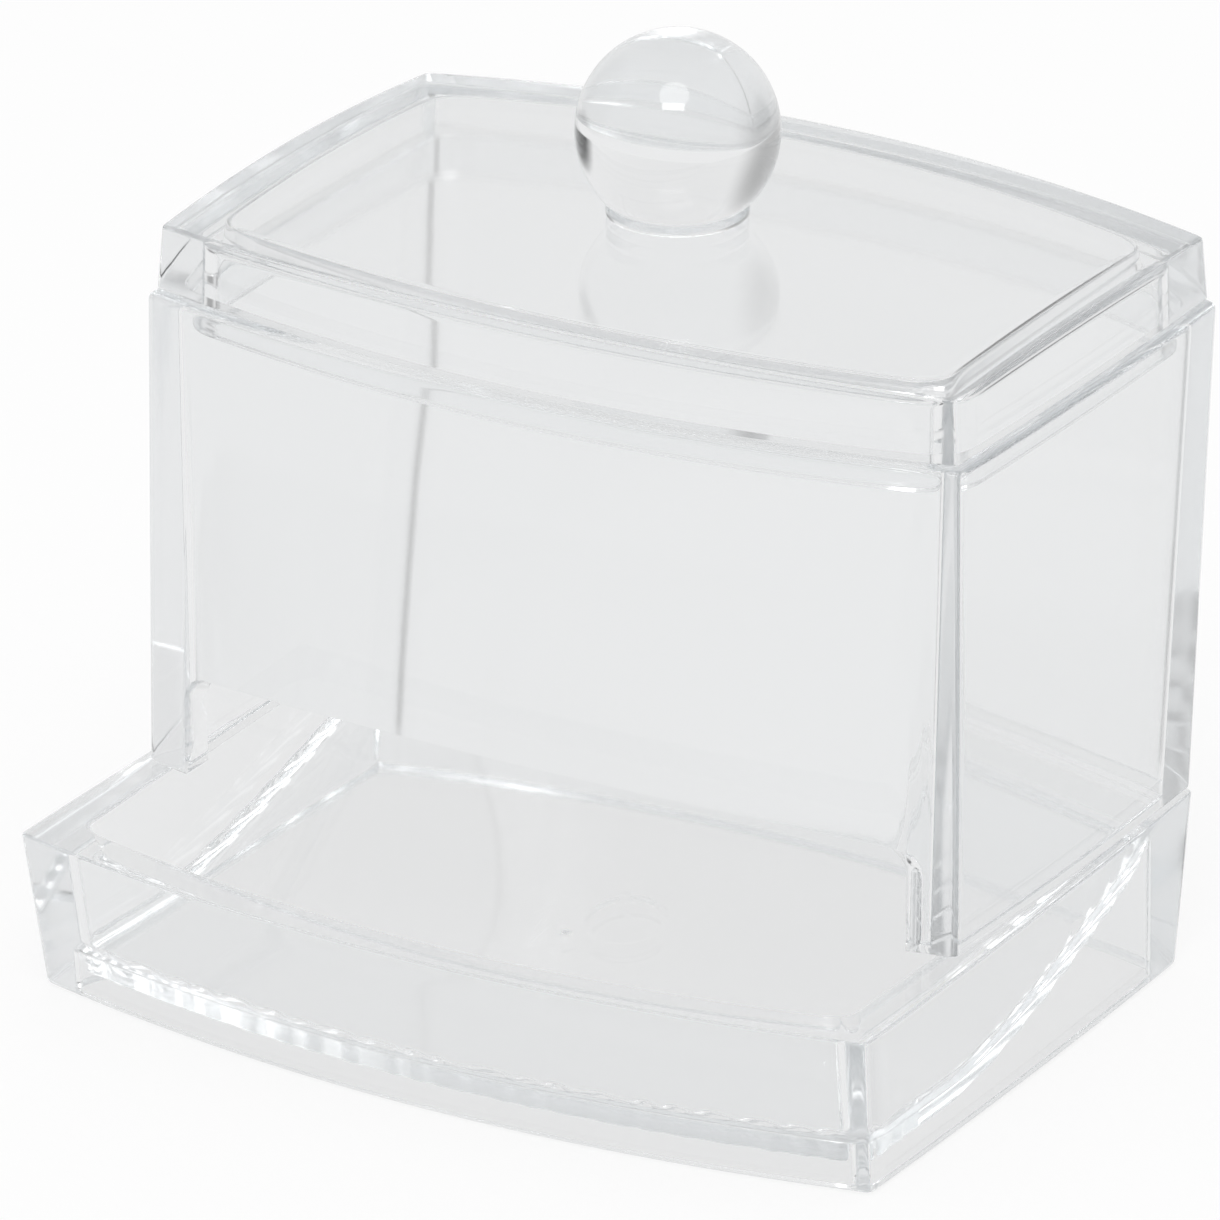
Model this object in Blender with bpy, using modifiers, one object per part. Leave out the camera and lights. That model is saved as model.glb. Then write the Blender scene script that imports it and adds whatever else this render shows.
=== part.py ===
# Clear cotton swab dispenser for a bathroom shelf: a tray base with a curved ramp, a four-walled
# box bonded on the rim of the base, and a lift-off lid with a ball knob.
# Metres, +Z up, front towards -Y. The origin is under the middle of the whole object.
import bmesh
import bpy
from collections import namedtuple
from math import asin, cos, pi, sin, sqrt

# How the walls bulge between their corners, seen from above
FRONT_BOW = 0.0055
BACK_BOW = 0.0057
SIDE_BOW = 0.0004

# Gap where two pieces touch: bonded faces, and the lid on its seat
BOND_GAP = 0.0003
LID_GAP = 0.0003

# Base: height of its rim, then corner positions at the rim and at the foot
BASE_HEIGHT = 0.0162
RIM_FRONT_HALF_WIDTH = 0.0450
RIM_LEDGE = 0.0003
TRAY_REACH = 0.0195
TRAY_FLARE = 0.0027
FOOT_HALF_WIDTH = 0.0442
FOOT_BACK_TUCK = 0.0039
BASE_WALL = 0.0030
TRAY_FRONT_WALL = 0.0040
TRAY_INNER_RADIUS = 0.0025
FLOOR_TOP = 0.0046
FLOOR_THICKNESS = 0.0024
RAMP_START_BEHIND_FRONT = 0.0010
RAMP_LIP = 0.0004
RAMP_CURVE = 1.35

# Box: its wall, its height, and its corners at the foot and at the top
BOX_WALL = 0.0030
BOX_HEIGHT = 0.0472
BOX_FOOT_HALF_WIDTH = 0.0433
BOX_FOOT_FRONT = 0.0246
BOX_FOOT_BACK = 0.0199
BOX_TOP_HALF_WIDTH = 0.0429
BOX_TOP_FRONT = 0.0244
BOX_TOP_BACK = 0.0241
BOX_EDGE = 0.0005
BOX_INNER_RADIUS = 0.0030
OUTER_RADIUS = 0.0006

# Opening at the foot of the box's front wall, where the swabs roll out into the tray
WINDOW_TOP_Z = 0.0275
WINDOW_POST = 0.0038
WINDOW_RADIUS = 0.0025

# Lid: how far it stands in from the box, its height at the corners, and the swell of its top
LID_INSET = 0.0006
LID_DRAFT = 0.0003
LID_HEIGHT = 0.0060
LID_EDGE = 0.0006
LID_EDGE_CROWN = 0.0009
LID_DOME = 0.0019
LID_PLATE = 0.0024
LIP_CLEARANCE = 0.0003
LIP_WALL = 0.0015
LIP_DEPTH = 0.0038

# Ball knob on a short round foot
BALL_DIAMETER = 0.0190
KNOB_FOOT_DIAMETER = 0.0133
KNOB_FOOT_HEIGHT = 0.0013
KNOB_FORWARD = 0.0008

# Smoothness of the curved outlines
LONG_SIDE_STEPS = 24
SHORT_SIDE_STEPS = 4
CORNER_STEPS = 3
WINDOW_CORNER_STEPS = 5
DOME_RINGS = 5
RAMP_STEPS = 14
BALL_ARC_STEPS = 20
BALL_TURN_STEPS = 40

# Cutters stand this far outside the solid they cut
CUT_MARGIN = 0.0020

CLEAR_COLOUR = (0.90, 0.92, 0.93, 1.0)
CLEAR_ROUGHNESS = 0.05
CLEAR_IOR = 1.49

COLLECTION_NAME = "cotton_swab_dispenser"
CUTTER_COLLECTION_NAME = "cutters"

# An outline seen from above: corner positions, the bow of each side and the corner radius
Plan = namedtuple("Plan", "half_front half_back front back bow_front bow_back bow_side radius")

RIM_BACK_HALF_WIDTH = BOX_FOOT_HALF_WIDTH + RIM_LEDGE
RIM_FRONT = BOX_FOOT_FRONT + TRAY_REACH
BOX_FOOT_Z = BASE_HEIGHT + BOND_GAP
BOX_TOP_Z = BOX_FOOT_Z + BOX_HEIGHT
LID_SEAT_Z = BOX_TOP_Z + LID_GAP
LID_CORNER_Z = LID_SEAT_Z + LID_HEIGHT

# The front reach is the tray rim's and the back reach the box top's, and the origin lies midway
FRONT_REACH = RIM_FRONT + FRONT_BOW
BACK_REACH = max(BOX_TOP_BACK, BOX_FOOT_BACK) + BACK_BOW
MODEL_SHIFT = (FRONT_REACH - BACK_REACH) / 2


def rim_plan():
    return Plan(RIM_FRONT_HALF_WIDTH, RIM_BACK_HALF_WIDTH, -RIM_FRONT, BOX_FOOT_BACK,
                FRONT_BOW, BACK_BOW, SIDE_BOW, OUTER_RADIUS)


def foot_plan():
    return Plan(FOOT_HALF_WIDTH, FOOT_HALF_WIDTH, TRAY_FLARE - RIM_FRONT, BOX_FOOT_BACK - FOOT_BACK_TUCK,
                FRONT_BOW, BACK_BOW, SIDE_BOW, OUTER_RADIUS)


def box_foot_plan():
    return Plan(BOX_FOOT_HALF_WIDTH, BOX_FOOT_HALF_WIDTH, -BOX_FOOT_FRONT, BOX_FOOT_BACK,
                FRONT_BOW, BACK_BOW, SIDE_BOW, OUTER_RADIUS)


def box_top_plan():
    return Plan(BOX_TOP_HALF_WIDTH, BOX_TOP_HALF_WIDTH, -BOX_TOP_FRONT, BOX_TOP_BACK,
                FRONT_BOW, BACK_BOW, SIDE_BOW, OUTER_RADIUS)


def inset(plan, distance, radius=None):
    """The outline moved inwards by a distance, with a new corner radius if one is given."""
    return plan._replace(
        half_front=plan.half_front - distance,
        half_back=plan.half_back - distance,
        front=plan.front + distance,
        back=plan.back - distance,
        radius=plan.radius if radius is None else radius,
    )


def bowed_point(start, end, bow, share):
    """A point on a side that bulges outwards by bow at its middle."""
    along_x = end[0] - start[0]
    along_y = end[1] - start[1]
    length = sqrt(along_x ** 2 + along_y ** 2)
    swell = bow * (1 - (2 * share - 1) ** 2)
    x = start[0] + along_x * share + along_y / length * swell
    y = start[1] + along_y * share - along_x / length * swell
    return x, y


def outline(plan):
    """Points of a plan, anticlockwise from the front left, each with its share of the side's crown."""
    corners = [
        (-plan.half_front, plan.front),
        (plan.half_front, plan.front),
        (plan.half_back, plan.back),
        (-plan.half_back, plan.back),
    ]
    bows = [plan.bow_front, plan.bow_side, plan.bow_back, plan.bow_side]
    steps = [LONG_SIDE_STEPS, SHORT_SIDE_STEPS, LONG_SIDE_STEPS, SHORT_SIDE_STEPS]
    sides = []
    for index in range(4):
        start = corners[index]
        end = corners[(index + 1) % 4]
        length = sqrt((end[0] - start[0]) ** 2 + (end[1] - start[1]) ** 2)
        first = plan.radius / length
        side = []
        for step in range(steps[index] + 1):
            share = first + (1 - 2 * first) * step / steps[index]
            x, y = bowed_point(start, end, bows[index], share)
            side.append((x, y, 1 - (2 * share - 1) ** 2))
        sides.append(side)
    points = []
    for index in range(4):
        points.extend(sides[index])
        leave = sides[index][-1]
        arrive = sides[(index + 1) % 4][0]
        corner = corners[(index + 1) % 4]
        for step in range(1, CORNER_STEPS):
            t = step / CORNER_STEPS
            weights = ((1 - t) ** 2, 2 * t * (1 - t), t ** 2)
            x = weights[0] * leave[0] + weights[1] * corner[0] + weights[2] * arrive[0]
            y = weights[0] * leave[1] + weights[1] * corner[1] + weights[2] * arrive[1]
            points.append((x, y, leave[2]))
    return points


def level_loop(plan, z):
    return [(x, y, z) for x, y, crown in outline(plan)]


def mesh_object(name, collection, loops, closed):
    """Skin a row of like loops. A closed row joins its last loop to its first, an open one has caps."""
    bm = bmesh.new()
    rows = [[bm.verts.new(point) for point in loop] for loop in loops]
    count = len(loops[0])
    spans = len(rows) if closed else len(rows) - 1
    for row in range(spans):
        lower = rows[row]
        upper = rows[(row + 1) % len(rows)]
        for i in range(count):
            j = (i + 1) % count
            bm.faces.new((lower[i], lower[j], upper[j], upper[i]))
    if not closed:
        bm.faces.new(rows[0])
        bm.faces.new(rows[-1])
    bmesh.ops.recalc_face_normals(bm, faces=bm.faces)
    mesh = bpy.data.meshes.new(name)
    bm.to_mesh(mesh)
    bm.free()
    item = bpy.data.objects.new(name, mesh)
    collection.objects.link(item)
    return item


def clear_plastic(name):
    material = bpy.data.materials.new(name)
    material.use_nodes = True
    shader = material.node_tree.nodes["Principled BSDF"]
    shader.inputs["Base Color"].default_value = CLEAR_COLOUR
    shader.inputs["Roughness"].default_value = CLEAR_ROUGHNESS
    shader.inputs["Metallic"].default_value = 0.0
    shader.inputs["IOR"].default_value = CLEAR_IOR
    shader.inputs["Transmission Weight"].default_value = 1.0
    return material


def finish(item, root):
    """Give a piece its own clear plastic and hang it on the model's root."""
    item.data.materials.append(clear_plastic(item.name + "_plastic"))
    item.data.shade_smooth()
    item.data.set_sharp_from_angle(angle=pi / 6)
    item.parent = root


def cut(item, cutter):
    cutter.hide_render = True
    cutter.display_type = "WIRE"
    boolean = item.modifiers.new("cut_" + cutter.name, "BOOLEAN")
    boolean.operation = "DIFFERENCE"
    boolean.solver = "EXACT"
    boolean.object = cutter


def plan_between(foot, rim, share):
    """The outline at a share of the way up from one outline to another."""
    return Plan(*[low + (high - low) * share for low, high in zip(foot, rim)])


def base_plan(z):
    return plan_between(foot_plan(), rim_plan(), z / BASE_HEIGHT)


def box_plan(z):
    return plan_between(box_foot_plan(), box_top_plan(), (z - BOX_FOOT_Z) / BOX_HEIGHT)


def front_line(plan, x):
    return plan.front - plan.bow_front * (1 - (x / plan.half_front) ** 2)


def back_line(plan, x):
    return plan.back + plan.bow_back * (1 - (x / plan.half_back) ** 2)


def ramp_point(x, reach):
    """A point of the ramp at one place across the base, level with the floor where reach is 0."""
    start = front_line(box_foot_plan(), x) + RAMP_START_BEHIND_FRONT
    end = back_line(rim_plan(), x) - BASE_WALL
    rise = BASE_HEIGHT - RAMP_LIP - FLOOR_TOP
    return start + (end - start) * reach, FLOOR_TOP + rise * reach ** RAMP_CURVE


def places_across(half_width, radius):
    """Places from side to side, closer together along the rounding at both ends."""
    flat = half_width - radius
    bend = [flat + radius * sin(pi / 2 * step / CORNER_STEPS) for step in range(1, CORNER_STEPS + 1)]
    middle = [-flat + 2 * flat * step / LONG_SIDE_STEPS for step in range(LONG_SIDE_STEPS + 1)]
    return [-x for x in reversed(bend)] + middle + bend


def swab_space_loops():
    """Sections of the space above the floor and ramp, rounded in the tray's two front corners."""
    half_width = BOX_FOOT_HALF_WIDTH - BOX_WALL
    flat = half_width - TRAY_INNER_RADIUS
    top = BASE_HEIGHT + CUT_MARGIN
    loops = []
    for x in places_across(half_width, TRAY_INNER_RADIUS):
        past_flat = max(0.0, abs(x) - flat)
        corner = TRAY_INNER_RADIUS - sqrt(max(0.0, TRAY_INNER_RADIUS ** 2 - past_flat ** 2))
        front_top = front_line(base_plan(top), x) + TRAY_FRONT_WALL + corner
        front_floor = front_line(base_plan(FLOOR_TOP), x) + TRAY_FRONT_WALL + corner
        section = [(x, front_top, top), (x, front_floor, FLOOR_TOP)]
        for step in range(RAMP_STEPS + 1):
            y, z = ramp_point(x, step / RAMP_STEPS)
            section.append((x, y, z))
        section.append((x, section[-1][1], top))
        loops.append(section)
    return loops


def under_space_loops():
    """Sections of the hollow under the floor and ramp, open at the bottom."""
    half_width = FOOT_HALF_WIDTH - BASE_WALL
    loops = []
    for x in places_across(half_width, BASE_WALL):
        front = front_line(foot_plan(), x) + BASE_WALL
        back = back_line(foot_plan(), x) - BASE_WALL
        ramp_start = ramp_point(x, 0.0)[0]
        ramp_end = ramp_point(x, 1.0)[0]
        full_reach = (back - ramp_start) / (ramp_end - ramp_start)
        section = [(x, front, -CUT_MARGIN), (x, front, FLOOR_TOP - FLOOR_THICKNESS)]
        for step in range(RAMP_STEPS + 1):
            y, z = ramp_point(x, full_reach * step / RAMP_STEPS)
            section.append((x, y, z - FLOOR_THICKNESS))
        section.append((x, back, -CUT_MARGIN))
        loops.append(section)
    return loops


def make_base(parts, cutters, root):
    outer = [level_loop(foot_plan(), 0.0), level_loop(rim_plan(), BASE_HEIGHT)]
    base = mesh_object("tray_base", parts, outer, closed=False)
    for name, loops in (("swab_space", swab_space_loops()), ("under_space", under_space_loops())):
        cutter = mesh_object(name, cutters, loops, closed=False)
        cutter.parent = root
        cut(base, cutter)
    finish(base, root)


def window_loop(y):
    """Front view of the window: square at its foot, rounded at its two upper corners."""
    half_width = BOX_FOOT_HALF_WIDTH - WINDOW_POST
    flat = half_width - WINDOW_RADIUS
    loop = [(-half_width, y, BOX_FOOT_Z - CUT_MARGIN), (half_width, y, BOX_FOOT_Z - CUT_MARGIN)]
    for side in (1, -1):
        for step in range(WINDOW_CORNER_STEPS + 1):
            turn = pi / 2 * step / WINDOW_CORNER_STEPS
            if side < 0:
                turn = pi / 2 - turn
            x = side * (flat + WINDOW_RADIUS * cos(turn))
            loop.append((x, y, WINDOW_TOP_Z - WINDOW_RADIUS + WINDOW_RADIUS * sin(turn)))
    return loop


def make_box(parts, cutters, root):
    outer_foot = box_foot_plan()
    outer_top = box_top_plan()
    inner_foot = inset(outer_foot, BOX_WALL, BOX_INNER_RADIUS)
    inner_top = inset(outer_top, BOX_WALL, BOX_INNER_RADIUS)
    loops = [
        level_loop(outer_foot, BOX_FOOT_Z),
        level_loop(outer_top, BOX_TOP_Z - BOX_EDGE),
        level_loop(inset(outer_top, BOX_EDGE), BOX_TOP_Z),
        level_loop(inner_top, BOX_TOP_Z),
        level_loop(inner_foot, BOX_FOOT_Z),
    ]
    box = mesh_object("box_walls", parts, loops, closed=True)
    before_wall = outer_foot.front - FRONT_BOW - CUT_MARGIN
    behind_wall = outer_foot.front + BOX_WALL + BOX_INNER_RADIUS
    window = mesh_object("window", cutters, [window_loop(before_wall), window_loop(behind_wall)], closed=False)
    window.parent = root
    cut(box, window)
    finish(box, root)


def domed_loop(plan, share, drop):
    """A loop of the lid's swollen top, shrunk to a share of the plan and lowered by drop."""
    middle = (plan.front + plan.back) / 2
    loop = []
    for x, y, crown in outline(plan):
        z = LID_CORNER_Z - drop + LID_EDGE_CROWN * crown * share ** 2 + LID_DOME * (1 - share ** 2)
        loop.append((x * share, middle + (y - middle) * share, z))
    return loop


def make_lid(parts, root):
    seat = inset(box_top_plan(), LID_INSET)
    rim = inset(seat, LID_DRAFT)
    top = inset(rim, LID_EDGE)
    lip_z = LID_SEAT_Z - LIP_DEPTH
    lip = inset(box_plan(lip_z), BOX_WALL + LIP_CLEARANCE, BOX_INNER_RADIUS)
    hollow = inset(lip, LIP_WALL)
    shares = [1 - ring / DOME_RINGS for ring in range(DOME_RINGS)]
    loops = [domed_loop(hollow, share, LID_PLATE) for share in reversed(shares)]
    loops.append(level_loop(hollow, lip_z))
    loops.append(level_loop(lip, lip_z))
    loops.append(level_loop(lip, LID_SEAT_Z))
    loops.append(level_loop(seat, LID_SEAT_Z))
    loops.append(domed_loop(rim, 1.0, LID_EDGE))
    loops.extend(domed_loop(top, share, 0.0) for share in shares)
    lid = mesh_object("lid", parts, loops, closed=False)
    finish(lid, root)


def make_knob(parts, root):
    """Ball on a short foot, turned about the upright axis through the middle of the lid."""
    ball_radius = BALL_DIAMETER / 2
    foot_radius = KNOB_FOOT_DIAMETER / 2
    foot_z = LID_CORNER_Z + LID_DOME + BOND_GAP
    sunk = sqrt(ball_radius ** 2 - foot_radius ** 2)
    centre_z = foot_z + KNOB_FOOT_HEIGHT + sunk
    last_angle = pi - asin(foot_radius / ball_radius)
    profile = []
    for step in range(BALL_ARC_STEPS + 1):
        angle = last_angle * step / BALL_ARC_STEPS
        profile.append((ball_radius * sin(angle), 0.0, centre_z + ball_radius * cos(angle)))
    profile.append((foot_radius, 0.0, foot_z))
    profile.append((0.0, 0.0, foot_z))
    mesh = bpy.data.meshes.new("ball_knob")
    edges = [(i, i + 1) for i in range(len(profile) - 1)]
    mesh.from_pydata(profile, edges, [])
    knob = bpy.data.objects.new("ball_knob", mesh)
    parts.objects.link(knob)
    lid_middle = (BOX_TOP_BACK - BOX_TOP_FRONT) / 2
    knob.location.y = lid_middle - KNOB_FORWARD
    turn = knob.modifiers.new("turn", "SCREW")
    turn.steps = BALL_TURN_STEPS
    turn.render_steps = BALL_TURN_STEPS
    turn.use_merge_vertices = True
    turn.merge_threshold = 0.00001
    knob.data.materials.append(clear_plastic("ball_knob_plastic"))
    knob.parent = root


def new_collection(name):
    collection = bpy.data.collections.new(name)
    bpy.context.scene.collection.children.link(collection)
    return collection


def main():
    for item in list(bpy.data.objects):
        bpy.data.objects.remove(item)
    parts = new_collection(COLLECTION_NAME)
    cutters = new_collection(CUTTER_COLLECTION_NAME)
    root = bpy.data.objects.new("dispenser_root", None)
    root.location.y = MODEL_SHIFT
    parts.objects.link(root)
    make_base(parts, cutters, root)
    make_box(parts, cutters, root)
    make_lid(parts, root)
    make_knob(parts, root)
    bpy.context.view_layer.update()


main()
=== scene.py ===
import bmesh
import bpy
import numpy as np
from math import cos, pi, radians, sin
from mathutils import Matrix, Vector
from bpy.props import FloatProperty, FloatVectorProperty, PointerProperty
from bpy.types import Operator, Panel, PropertyGroup


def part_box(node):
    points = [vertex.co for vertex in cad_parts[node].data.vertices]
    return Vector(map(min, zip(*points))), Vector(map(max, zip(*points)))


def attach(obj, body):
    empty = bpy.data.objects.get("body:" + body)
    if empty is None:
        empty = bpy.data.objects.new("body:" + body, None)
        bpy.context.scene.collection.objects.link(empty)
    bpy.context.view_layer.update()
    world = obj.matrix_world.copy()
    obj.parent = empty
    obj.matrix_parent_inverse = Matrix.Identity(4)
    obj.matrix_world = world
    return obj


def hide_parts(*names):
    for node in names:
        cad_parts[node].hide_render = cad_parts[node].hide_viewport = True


bl_info = {
    "name": "Cotton Swab Dispenser",
    "version": (1, 0, 0),
    "blender": (4, 5, 0),
    "location": "3D View > Sidebar > Dispenser",
    "description": "Builds a clear plastic cotton swab dispenser and its studio",
    "category": "Object",
}

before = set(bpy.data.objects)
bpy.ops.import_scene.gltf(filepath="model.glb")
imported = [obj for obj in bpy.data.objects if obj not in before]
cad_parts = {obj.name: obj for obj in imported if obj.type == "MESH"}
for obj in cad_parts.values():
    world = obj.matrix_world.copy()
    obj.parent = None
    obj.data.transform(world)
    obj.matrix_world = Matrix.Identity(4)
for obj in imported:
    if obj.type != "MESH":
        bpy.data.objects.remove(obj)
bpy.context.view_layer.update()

# The origin lies under the middle of the whole object. The plans are measured from the middle of the box,
# this far behind it.
MODEL_SHIFT = 0.0099

# Fields of a station: the outline seen from above, the height, its share of the piece's height rule,
# and how strongly the bead in a moulded corner shows there
HALF_FRONT, HALF_BACK, FRONT, BACK, BOW_FRONT, BOW_BACK, BOW_SIDE, RADIUS, HEIGHT, LIFT, BEAD = range(11)

# Bulge of the walls between their corners, and the sizes of the mouldings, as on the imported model
FRONT_BOW = 0.0055
BACK_BOW = 0.0057
SIDE_BOW = 0.0004
BASE_HEIGHT = 0.0162
FLOOR_TOP = 0.0046
FLOOR_THICKNESS = 0.0024
BOX_FOOT_Z = 0.0165
BOX_TOP_Z = 0.0637
LID_SEAT_Z = 0.0640
LID_TOP_Z = 0.0700
LIP_Z = 0.0602

# The camera stands this far round to the right of the front
CAMERA_TURN = radians(30.7)

# Corners sharper than these are rounded off at the window, and shaded as an edge
SHARP_CORNER = radians(50)
SHARP_SHADING = radians(40)
EDGE_ROUNDING = 0.00015

# The light tent: each darker part of it, as its turn from straight ahead of the camera, its rise, how far
# it reaches and how dark its middle is. It is full over TENT_CORE of its reach.
TENT_OPENING = (radians(69), radians(-4), radians(23), 1.0)
TENT_DIM_SIDE = (radians(-61), radians(10), radians(38), 0.50)
TENT_BACK = (0.0, radians(24), radians(60), 0.06)
TENT_FAR_SIDE = (radians(-105), 0.0, radians(50), 0.15)
TENT_CORE = 0.2

# The lamps, as shape, turn and rise as above, distance, width, height and share of the softbox's power
SOFTBOXES = {
    "softbox_top": ("ELLIPSE", radians(187), radians(61), 1.10, 0.60, 0.60, 1.1),
    "softbox_front": ("RECTANGLE", radians(187), radians(48), 1.18, 0.50, 0.16, 0.75),
}

# Rays through clear plastic cross many walls
LIGHT_BOUNCES = 64

# Steps round a corner of an outline and round a bend of a profile, and how far beyond that bend,
# as a multiple of it, the last flat station stands
CORNER_STEPS = 6
BEND_STEPS = 6
HOLD = 1.2

# The ramp begins this far behind the foot of the box's front wall and ends this far before the back rim
RAMP_START = 0.0010
RAMP_END = 0.0030

# The sides and back of the base begin at this length along its outline, from the front left corner
FRONT_RUN = 0.088

# How much further apart the ripples stand along the front, how fast their pitch and strength vary along
# the outline, and the range of that strength
FRONT_STRETCH = 0.45
UNEVEN_PITCH = 160.0
UNEVEN_STRENGTH = 300.0
LEAST_STRENGTH, STRENGTH_RANGE = 0.5, 0.8
SECOND_SEED = 8.0

# Painted glints, a white highlight glow on the steps: how high on its wave a step glows and how quickly,
# where they begin at the sides and end along the front, how sharply, and how bright each of the two is
GLINT_LEVEL, GLINT_RISE = 0.62, 4.0
SIDE_GLINT_FROM, SIDE_GLINT_RISE, SIDE_GLINT = 0.0395, 4000.0, 2.0
FRONT_GLINT_TO, FRONT_GLINT_RISE, FRONT_GLINT = 0.042, 50.0, 0.6

# Marks on the tray's floor: place across and along, radius, width of the edge, and height in gate depths
GATE_DIMPLE = (0.0024, -0.0143, 0.0037, 0.0006, -1.6)
GATE_DROP = (-0.0019, -0.0180, 0.0003, 0.0007, 3.0)

# Painted shade in the box's back inner corners: how far out and how far back its lines stand, each at the
# foot and at the top, the heights between which they fade in and out, and how far their edge and core reach
BOX_PAINTED_SHADE_LINES = ((0.0391, 0.0399), (0.0268, 0.0310))
BOX_PAINTED_SHADE_START = (0.0180, 0.0210)
BOX_PAINTED_SHADE_END = (0.0655, 0.0635)
BOX_PAINTED_SHADE_WIDTH = (0.00050, 0.00030)
BOX_PAINTED_SHADE_TONE = 0.3

# Painted shade along the lid's right inner edge, a dark line: the middle and half the length of its curve,
# how far out and how high it stands and how far each swells, the places along between which it fades in
# and out, and how far its edge and its core reach
LID_PAINTED_SHADE_MIDDLE, LID_PAINTED_SHADE_REACH = 0.0098, 0.0254
LID_PAINTED_SHADE_LINES = ((0.0381, SIDE_BOW), (0.0678, 0.0010))
LID_PAINTED_SHADE_START = (-0.009, -0.005)
LID_PAINTED_SHADE_END = (0.031, 0.024)
LID_PAINTED_SHADE_WIDTH = (0.00042, 0.00028)
LID_PAINTED_SHADE_TONE = 0.03


def station(half_front, half_back, front, back, radius, z, lift=0.0, bows=(FRONT_BOW, BACK_BOW, SIDE_BOW)):
    """One place on the profile of a moulding."""
    return np.array([half_front, half_back, front, back, *bows, radius, z, lift, 0.0])


def beaded(base):
    """A station that carries the moulding's bead and ripple."""
    result = base.copy()
    result[BEAD] = 1.0
    return result


def moved_in(base, distance, radius=None, z=None, lift=None):
    """A station moved inwards by a distance, with other fields changed where they are given."""
    result = base.copy()
    result[[HALF_FRONT, HALF_BACK]] -= distance
    result[FRONT] += distance
    result[BACK] -= distance
    if radius is not None:
        result[RADIUS] = radius
    if z is not None:
        result[HEIGHT] = z
    if lift is not None:
        result[LIFT] = lift
    return result


def between(low, high, share):
    return low + (high - low) * share


def towards_middle(base, share):
    """A station shrunk around its own middle."""
    result = base.copy()
    result[BEAD] = 0.0
    middle = (base[FRONT] + base[BACK]) / 2
    result[[HALF_FRONT, HALF_BACK, BOW_FRONT, BOW_BACK, BOW_SIDE, RADIUS]] *= share
    result[FRONT] = middle + (base[FRONT] - middle) * share
    result[BACK] = middle + (base[BACK] - middle) * share
    return result


def outline(at, side_steps):
    """Points of the bowed four-sided outline of a station, anticlockwise from the front left corner."""
    corners = np.array([
        [-at[HALF_FRONT], at[FRONT]],
        [at[HALF_FRONT], at[FRONT]],
        [at[HALF_BACK], at[BACK]],
        [-at[HALF_BACK], at[BACK]],
    ])
    bows = (at[BOW_FRONT], at[BOW_SIDE], at[BOW_BACK], at[BOW_SIDE])
    sides = []
    for index in range(4):
        start = corners[index]
        along = corners[(index + 1) % 4] - start
        length = np.linalg.norm(along)
        outward = np.array([along[1], -along[0]]) / length
        cut = at[RADIUS] / length
        share = cut + (1 - 2 * cut) * np.linspace(0, 1, side_steps[index] + 1)
        swell = bows[index] * (1 - (2 * share - 1) ** 2)
        sides.append(start + share[:, None] * along + swell[:, None] * outward)
    t = np.linspace(0, 1, CORNER_STEPS + 1)[1:-1, None]
    loop = []
    for index in range(4):
        leave = sides[index][-1]
        arrive = sides[(index + 1) % 4][0]
        corner = corners[(index + 1) % 4]
        loop.append(sides[index])
        loop.append((1 - t) ** 2 * leave + 2 * t * (1 - t) * corner + t ** 2 * arrive)
    return np.concatenate(loop)


def apart(a, b):
    """How far two stations lie apart, by the field that differs most."""
    difference = np.abs(a - b)[[HALF_FRONT, HALF_BACK, FRONT, BACK]]
    rise = abs(a[HEIGHT] + a[LIFT] * FLOOR_TOP - b[HEIGHT] - b[LIFT] * FLOOR_TOP)
    return max(difference.max(), rise, 1e-6)


def rounded_profile(stops, closed):
    """Stations along a profile. Each stop is (station, bend, steps to the next stop)."""
    count = len(stops)
    entries = []
    for i in range(count):
        here, bend, steps = stops[i]
        has_both = closed or 0 < i < count - 1
        if bend and has_both:
            before = stops[(i - 1) % count][0]
            after = stops[(i + 1) % count][0]
            back_share = min(0.4, bend / apart(here, before))
            ahead_share = min(0.4, bend / apart(here, after))
            first = between(here, before, back_share)
            last = between(here, after, ahead_share)
            points = [between(here, before, back_share * HOLD)]
            for k in range(BEND_STEPS + 1):
                t = k / BEND_STEPS
                points.append((1 - t) ** 2 * first + 2 * t * (1 - t) * here + t ** 2 * last)
                points[-1][BEAD] = here[BEAD] * sin(pi * t)
            points.append(between(here, after, ahead_share * HOLD))
            points[0][BEAD] = 0.0
            points[-1][BEAD] = 0.0
        else:
            points = [here]
        entries.append((points, steps))
    result = []
    for i in range(count):
        points, steps = entries[i]
        result.extend(points)
        if i == count - 1 and not closed:
            break
        ahead = entries[(i + 1) % count][0][0]
        for k in range(1, steps):
            result.append(between(points[-1], ahead, k / steps))
    return result


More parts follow.
